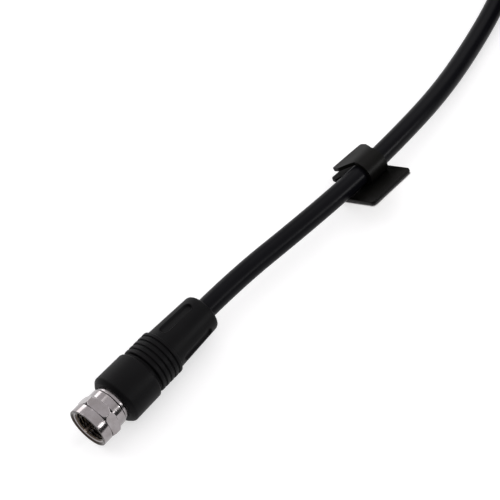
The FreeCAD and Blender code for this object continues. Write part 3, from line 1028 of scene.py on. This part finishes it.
@dataclass
class CableClip:
    """Adhesive clip: an open loop with two lips on a flat base, foam tape and its liner."""

    centre: Place = (-105.7463, 4.5817, -0.027)
    towards: Place = (0.99929, -0.03618, 0.01026)
    across: Place = (0.02376, 0.81883, 0.57355)
    up: Place = (-0.02915, -0.5729, 0.81911)
    bore_radius: float = 3.05
    wall: float = 1.05
    strap_half: float = 3.5
    strap_shift: float = 3.2
    upper_start: float = 60.0
    upper_angle: float = 186.0
    upper_near: Span = (6.6, 8.4)
    upper_far: Span = (4.8, 7.4)
    lower_root: float = 183.0
    lower_turn: float = 9.0
    lower_angle: float = 167.0
    flare_reach: float = 0.9
    lower_near: Span = (7.9, 4.2)
    lower_far: Span = (5.1, 3.4)
    lip_corner: float = 0.6
    base_reach: Span = (7.3, 8.6)
    flange_reach: Span = (9.9, 10.2)
    heel_reach: float = 5.4
    base_top: float = -3.15
    base_thickness: float = 0.9
    tape_thickness: float = 0.5
    tape_margin: float = 0.2
    liner_thickness: float = 0.15
    corner_round: float = 1.1
    loop_ease: float = 0.3
    loop_lift: float = 0.03
    base_ease: float = 0.22
    tape_ease: float = 0.05
    liner_ease: float = 0.03
    crease: float = 40.0
    pieces: list[bpy.types.Object] = field(default_factory=list)

    def world(self, along: Array, out: Array, height: Array) -> Array:
        """Points of the clip's own frame, towards the plug, across and up, in the lead's frame."""
        axes = np.array([self.towards, self.across, self.up])
        return np.asarray(self.centre) + np.stack([along, out, height], axis=-1) @ axes

    @property
    def middle(self) -> float:
        """Radius of the loop's middle circle."""
        return self.bore_radius + self.wall / 2

    def unroll(self) -> Array:
        """Bend of the upper lip: leaving the loop, its curvature falls evenly from the loop's to none.

        Returns:
            (out, height) points of the bend.
        """
        start = self.upper_start + 90.0
        turn = self.upper_angle - start
        t = np.linspace(0.0, 1.0, 25)
        heading = start + turn * (2 * t - t**2)
        step = 2 * self.middle * math.radians(turn) / (len(t) - 1)
        path = np.cumsum(step * unit((heading[1:] + heading[:-1]) / 2), axis=0)
        return np.vstack([np.zeros(2), path]) + self.middle * unit(self.upper_start)

    def flare(self) -> Array:
        """Bend of the lower lip: a parabola round the loop's open edge.

        Returns:
            (out, height) points of the bend.
        """
        root = self.lower_root
        start, corner, heading = unit([root + self.lower_turn, root, self.lower_angle])
        start, corner = self.middle * start, self.middle * corner
        t = np.linspace(0.0, 1.0, 9)[:, None]
        return parabola(start, corner, corner + self.flare_reach * heading, t)

    def lip(self, bend: Array, angle: float, near: Span, far: Span, v: Array) -> tuple[Array, Array, Array]:
        """Middle surface of one lip: its bend, then straight on to a round-cornered edge.

        Its half widths grow from the strap's to the outer corners' over the middle half of its length.

        Args:
            bend: (out, height) points from the loop to the straight part.
            angle: the direction of the straight part.
            near: (half width, length) at the end towards the plug.
            far: (half width, length) at the other end.
            v: place across the strap, from -1 to 1.

        Returns:
            Along, out and height of the grid, from the loop to the outer edge.
        """
        bent = gone(bend)[:, None]
        length = far[1] + (v + 1.0) / 2.0 * (near[1] - far[1])
        half = np.where(v > 0, near[0], far[0])
        edge = np.clip((np.abs(v) * half - half + self.lip_corner) / self.lip_corner, 0.0, 1.0)
        length = length - self.lip_corner * (1.0 - np.sqrt(1.0 - edge**2))
        on = np.linspace(0.0, 1.0, 12)[1:, None] * (length[None, :] - bent[-1])
        tongue = bend[-1] + on[..., None] * unit(angle)
        plane = np.vstack([np.repeat(bend[:, None, :], len(v), axis=1), tongue])
        share = np.vstack([bent * np.ones_like(v), bent[-1] + on]) / length
        along = v * (self.strap_half + np.clip(share * 2.0 - 0.5, 0.0, 1.0) * (half - self.strap_half))
        return along - self.strap_shift, plane[..., 0], plane[..., 1]

    def build_loop(self) -> None:
        """The loop and its two lips as one sheet, thickened and with eased edges."""
        v = np.sin(np.linspace(-math.pi / 2, math.pi / 2, 19))
        upper = self.lip(self.unroll(), self.upper_angle, self.upper_near, self.upper_far, v)
        lower = self.lip(self.flare(), self.lower_angle, self.lower_near, self.lower_far, v)
        angle = np.linspace(self.lower_root + self.lower_turn, self.upper_start + 360.0, 73)[1:-1, None]
        circle = self.middle * unit(angle)
        ring = np.broadcast_arrays(v * self.strap_half - self.strap_shift, circle[..., 0], circle[..., 1])
        sheet = [np.vstack([low[::-1], loop, high]) for low, loop, high in zip(lower, ring, upper)]
        floor = self.base_top - self.base_thickness + self.wall / 2 + self.loop_lift
        sheet[2] = np.maximum(sheet[2], floor)
        made = Piece("clip_loop", CLIP_BLACK, "clip_black", ("cable_clip",)).grid(self.world(*sheet), False)
        self.thicken(made, self.wall, self.loop_ease)
        self.pieces.append(made)

    @staticmethod
    def thicken(made: bpy.types.Object, thickness: float, ease: float) -> None:
        """Gives a sheet its thickness, half on each side, and eases the edges.

        Args:
            made: the sheet's object.
            thickness: its thickness in millimetres.
            ease: the width of the eased edges.
        """
        wall = made.modifiers.new("wall", "SOLIDIFY")
        wall.thickness = thickness * MM
        wall.offset = 0.0
        wall.use_even_offset = True
        edge = made.modifiers.new("edge", "BEVEL")
        edge.width = ease * MM
        edge.segments = 3
        edge.limit_method = "ANGLE"
        edge.angle_limit = math.radians(50.0)
        edge.harden_normals = True

    def slab(self, piece: Piece, margin: float, top: float, thickness: float, ease: float) -> None:
        """Round-cornered slab: the outline's corner arcs, drawn in by an inset at each level.

        Args:
            piece: what the slab becomes.
            margin: how far it is inset from the base.
            top: its upper face's height.
            thickness: its thickness.
            ease: the rounding of its level edges.
        """
        arc = np.linspace(0.0, 90.0, 9)
        turned = unit((np.arange(4)[:, None] * 90.0 + arc).ravel())
        east = np.repeat([1.0, -1.0, -1.0, 1.0], len(arc))
        north = np.repeat([1.0, 1.0, -1.0, -1.0], len(arc))
        inner = margin + self.corner_round
        length = np.where(east > 0, *self.base_reach) - inner
        width = np.where(north > 0, np.where(east > 0, *self.flange_reach), self.heel_reach) - inner
        level, steep = ease * (1 - unit(np.linspace(0.0, 90.0, 5)).T)
        inset = np.concatenate([steep, level])
        drop = np.concatenate([level, thickness - steep])
        round_off = self.corner_round - inset[:, None]
        along = east * length + round_off * turned[:, 0]
        out = north * width + round_off * turned[:, 1]
        height = np.broadcast_to((top - drop)[:, None], along.shape)
        points = self.world(along, out, height)
        rows, columns = along.shape
        faces = quads(rows, columns, False, True).tolist()
        faces.append(list(range(columns)))
        faces.append(list(range((rows - 1) * columns, rows * columns)))
        self.pieces.append(piece.show(make_mesh(piece.name, points, faces, self.crease)))

    def build(self) -> list[bpy.types.Object]:
        """Builds the clip's loop, and below it the base, the tape and the liner in turn.

        Returns:
            The pieces' objects.
        """
        self.build_loop()
        base = Piece("clip_base", CLIP_BLACK, "clip_black")
        tape = Piece("clip_foam_tape", TAPE_BLACK, "foam_tape", ("clip_tape",))
        liner = Piece("clip_paper_liner", LINER_WHITE, "liner", ("clip_liner",))
        top = self.base_top
        for piece, margin, thickness, ease in (
            (base, 0.0, self.base_thickness, self.base_ease),
            (tape, self.tape_margin, self.tape_thickness, self.tape_ease),
            (liner, 0.0, self.liner_thickness, self.liner_ease),
        ):
            self.slab(piece, margin, top, thickness, ease)
            top -= thickness
        return self.pieces


@dataclass
class LeadCord:
    """The cable: a loose stretch from the near plug, a hank of folded turns, and the far plug's end."""

    diameter: float = 5.8
    length: float = 1.863
    start: Place = (-44.3, 0.0, 0.0)
    near_route: tuple[Place, ...] = (
        (-58.0, 0.2, 0.0), (-80.0, 2.7, 0.0), (-102.0, 4.6, 0.05), (-124.0, 4.9, -0.3),
        (-144.0, 3.7, -2.0), (-164.0, 0.3, -3.8), (-184.0, -4.1, -4.2), (-201.0, -9.6, -3.6),
    )
    far_route: tuple[Place, ...] = (
        (-247.0, 11.0, 17.9), (-262.0, 12.2, 15.3), (-279.0, 16.5, 11.3), (-294.0, 23.0, 8.2),
    )
    end: Place = (-234.9, 10.9, 18.3)
    hank_centre: Span = HANK_CENTRE
    lobe_offset: float = 40.925
    lobe_radius: float = 24.9
    hollow_radius: float = 30.0
    waist: float = 11.6
    flat: float = 5.1
    first_layer: float = -3.6
    entry_angle: float = -72.0
    insets: tuple[float, ...] = (2.9, 8.7, 8.7, 2.9, 2.9, 8.7)
    layers: tuple[int, ...] = (0, 0, 1, 1, 2, 2)
    windows: tuple[Span, ...] = ((0.80, 1.0), (0.74, 0.88), (0.66, 0.84), (0.60, 0.76), (0.55, 0.70))
    last_turn: float = 0.535
    points_per_turn: int = 48

    def outline(self) -> tuple[Array, Array, Array, Array]:
        """One turn of the hank, from its entry, as rays that an inset slides points along.

        The turn is lobe, hollow, flat, hollow, lobe, and back on the other side. Each sample has
        a centre, a direction, a distance at no inset and the sign of the inset.

        Returns:
            Centres, directions, distances and signs.
        """
        off, flat, deep = self.lobe_offset, self.flat, self.waist + self.hollow_radius
        touch = math.degrees(math.atan2(deep, off - flat))
        arcs = [
            (off, 0.0, self.entry_angle, touch - 180.0, 24),
            (flat, -deep, touch, 90.0, 30),
            (-flat, -deep, 90.0, 180.0 - touch, 30),
            (-off, 0.0, -touch, touch - 360.0, 90),
            (-flat, deep, touch - 180.0, -90.0, 30),
            (flat, deep, -90.0, -touch, 30),
            (off, 0.0, 180.0 - touch, self.entry_angle, 66),
        ]
        centres = np.vstack([np.tile([x, y], (count, 1)) for x, y, _, _, count in arcs])
        angles = np.concatenate([np.linspace(first, last, count) for _, _, first, last, count in arcs])
        on_lobe = centres[:, 1] == 0.0
        distances = np.where(on_lobe, self.lobe_radius, self.hollow_radius)
        return centres, unit(angles), distances, np.where(on_lobe, -1.0, 1.0)

    def hank(self) -> Array:
        """Points of the turns, in the order in which the cable goes through them.

        Each turn keeps its inset and layer up to its window and slides to the next turn's place
        inside it. Later turns slide earlier, so no two are in one place.

        Returns:
            Points in millimetres.
        """
        centres, directions, distances, signs = self.outline()
        pitch = self.diameter
        made = []
        middle = centres + directions * (distances + signs * pitch)[:, None]
        share = gone(middle)
        share /= share[-1]
        for k, window in enumerate((*self.windows, (2.0, 3.0))):
            following = min(k + 1, len(self.insets) - 1)
            slide = smooth((share - window[0]) / (window[1] - window[0]))
            inset = self.insets[k] + slide * (self.insets[following] - self.insets[k])
            layer = self.layers[k] + slide * (self.layers[following] - self.layers[k])
            plan = centres + directions * (distances + signs * inset)[:, None] + np.asarray(self.hank_centre)
            rail = np.column_stack([plan, self.first_layer + pitch * layer])
            last = self.last_turn if k == len(self.windows) else 1.0
            wanted = np.arange(0.0, last - 0.5 / self.points_per_turn, 1.0 / self.points_per_turn)
            made.append(np.column_stack([np.interp(wanted, share, rail[:, axis]) for axis in range(3)]))
        return np.vstack(made)

    def build(self, with_pieces: Sequence[bpy.types.Object]) -> bpy.types.Object:
        """Args:
            with_pieces: what is on the cable; not used.

        Returns:
            The cable's object.
        """
        route = [[self.start], self.near_route, self.hank(), self.far_route[::-1], [self.end]]
        points = np.vstack(route) * MM
        curve = bpy.data.curves.new("lead_cable", "CURVE")
        curve.dimensions = "3D"
        curve.bevel_depth = self.diameter / 2 * MM
        curve.bevel_resolution = 8
        curve.resolution_u = 6
        curve.use_fill_caps = True
        spline = curve.splines.new("NURBS")
        spline.points.add(len(points) - 1)
        spline.points.foreach_set("co", np.column_stack([points, np.ones(len(points))]).ravel())
        spline.order_u = 3
        spline.use_endpoint_u = True
        stands_for = ("cable", "far_cable", "cable_hank")
        made = Piece("lead_cable", JACKET_BLACK, "jacket_black", stands_for).show(curve)
        return made


@dataclass
class HankTie:
    """Soft band wrapped once round the hank's waist, with its end lapped down one side."""

    centre: Span = HANK_CENTRE
    width: float = 10.0
    thickness: float = 0.8
    half: float = 11.7
    low: float = -6.5
    high: float = 11.0
    corner: float = 1.6
    tab_length: float = 11.0
    start_drop: float = 2.0
    ease: float = 0.2

    def path(self) -> Array:
        """Middle line of the band: down one side, under, up, over, and down outside its start.

        Straight sides and quarter turns round four centres; past the last corner the line lies
        one thickness further out.

        Returns:
            (side, height) points.
        """
        t = self.thickness / 2
        inner = self.corner
        wide = self.half + t - inner
        bottom = self.low - t + inner
        top = self.high + t - inner
        turns = [(-wide, bottom, 180.0), (wide, bottom, 270.0), (wide, top, 0.0), (-wide, top, 90.0)]
        quarter = np.linspace(0.0, 90.0, 9)
        grow = np.linspace(0.0, self.thickness, 9)
        arcs = []
        for *centre, first in turns:
            radius = inner + grow * (first == 90.0)
            arcs.append(np.asarray(centre) + radius[:, None] * unit(first + quarter))
        side = np.linspace(top - self.start_drop, bottom, 8, endpoint=False)
        start = np.column_stack([np.full(8, -wide - inner), side])
        out = -wide - inner - self.thickness
        tail = np.column_stack([np.full(8, out), np.linspace(top, self.high - self.tab_length, 9)[1:]])
        return np.vstack([start, *arcs, tail])

    def build(self) -> bpy.types.Object:
        """Sweeps the band's width along its path, thickens it and keeps its lengths for the weave.

        Returns:
            The band's object.
        """
        path = self.path()
        v = np.linspace(-0.5, 0.5, 7) * self.width
        along, across = self.centre
        points = np.stack(np.broadcast_arrays(along + v, across + path[:, :1], path[:, 1:]), axis=-1)
        mesh = make_mesh("hank_band", points, quads(len(path), len(v), False, False).tolist())
        layer = mesh.uv_layers.new(name="lengths")
        corners = np.zeros(len(mesh.loops), np.int32)
        mesh.loops.foreach_get("vertex_index", corners)
        lengths = np.stack(np.broadcast_arrays(gone(path)[:, None], v), axis=-1).reshape(-1, 2) * MM
        layer.data.foreach_set("uv", lengths[corners].ravel())
        made = Piece("hank_band", TIE_BLACK, "tie_black", ("hank_tie",)).show(mesh)
        CableClip.thicken(made, self.thickness - CLOSE, self.ease)
        return made


@dataclass
class Studio:
    """White ground, soft light and the camera."""

    eye: Place = (0.12163, 0.15283, 0.36525)
    back: Place = (0.4289, 0.3542, 0.8310)
    lens: float = 118.8
    ground: float = -0.0073
    sky: tuple[tuple[float, Colour], ...] = (
        (0.0, (0.2, 0.2, 0.2, 1.0)),
        (0.05, (0.03, 0.03, 0.03, 1.0)),
        (0.36, (0.05, 0.05, 0.05, 1.0)),
        (0.55, (0.5, 0.5, 0.51, 1.0)),
        (0.75, (0.95, 0.93, 0.95, 1.0)),
        (1.0, (1.0, 0.98, 1.0, 1.0)),
    )
    left_sky: Colour = (1.0, 0.98, 1.0, 1.0)
    dark_ahead: float = 0.35
    dark_span: Span = (-0.3, 0.2)
    floor_half: float = 4.0

    def build_floor(self) -> None:
        """A wide flat sheet under the lead."""
        corner = np.array([[-1, -1], [1, -1], [1, 1], [-1, 1]]) * self.floor_half
        points = np.column_stack([corner, np.full(4, self.ground)]) / MM
        mesh = make_mesh("ground", points, [[0, 1, 2, 3]])
        mesh.materials.append(Floor("ground_white").material())
        add("ground", mesh)

    def build_world(self) -> None:
        """Surroundings: light overhead and on the left, dark along the horizon at the right and in front."""
        world = bpy.data.worlds.new("studio")
        bpy.context.scene.world = world
        bench = Bench(world)
        direction = bench.node("ShaderNodeTexCoord", output="Generated")
        ahead, side, height = bench.split(direction)
        dark_side = bench.maths("MAXIMUM", side, ahead - self.dark_ahead)
        right = bench.node("ShaderNodeValToRGB", {"stops": self.sky}, {"Fac": height})
        tones = bench.mix(bench.spread(dark_side, *self.dark_span), self.left_sky, right)
        bench.close(bench.node("ShaderNodeBackground", None, {"Color": tones}), "ShaderNodeOutputWorld")

    def build_lamps(self) -> None:
        """Two small windows on the right, a low strip on the left, and soft boxes above and behind.

        Each area lamp has a place and the point that it faces, in metres, its width and height,
        and its power in watts.
        """
        plug, clip = (0.0, 0.0, 0.0), (-0.105, 0.005, 0.0)
        lamps = {
            "plug_window": ((-0.294, 0.81, 0.5), plug, (0.16, 0.22), 0.75),
            "clip_window": ((-0.605, 0.778, 0.392), clip, (0.16, 0.12), 2.6),
            "left_strip": ((-0.25, -1.0, 0.2), plug, (0.45, 0.4), 1.6),
            "left_box": ((0.25, -0.9, 0.7), plug, (0.9, 0.6), 2.5),
            "back_box": ((-0.9, -0.3, 0.9), clip, (0.9, 0.6), 2.0),
        }
        for name, (place, aim, size, power) in lamps.items():
            light = bpy.data.lights.new(name, "AREA")
            light.shape = "RECTANGLE"
            light.size, light.size_y = size
            light.energy = power
            add_facing(name, light, place, Vector(aim) - Vector(place))

    def build_camera(self) -> None:
        """The camera over the plug, looking down along the lead."""
        camera = bpy.data.cameras.new("camera")
        camera.sensor_width = 36.0
        camera.lens = self.lens
        camera.clip_start = 0.01
        camera.clip_end = 50.0
        bpy.context.scene.camera = add_facing("camera", camera, self.eye, -Vector(self.back))

    def build(self) -> None:
        """Builds the whole studio."""
        self.build_floor()
        self.build_world()
        self.build_lamps()
        self.build_camera()
        bpy.context.scene.view_settings.view_transform = "Standard"


def main() -> None:
    """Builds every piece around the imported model."""
    logging.basicConfig(level=logging.INFO, format="%(message)s")
    for known in list(bpy.data.objects):
        bpy.data.objects.remove(known)
    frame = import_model()
    for node in ("braid_wrap", "far_braid_wrap"):
        frame["nodes"][node].data.materials.clear()
        frame["nodes"][node].data.materials.append(Plating("braid_wire", roughness=0.35).material())
    Studio().build()
    near = Plug("near_plug", "", Body.NEAR_NUT).build()
    far = Plug("far_plug", "far_", Body.FAR_NUT, FAR_MOUTH).build()
    clip = CableClip().build()
    tie = HankTie().build()
    braid = frame["nodes"]["far_braid_wrap"]
    cable = LeadCord().build([*far, braid, *clip, tie])


if __name__ == "__main__":
    main()
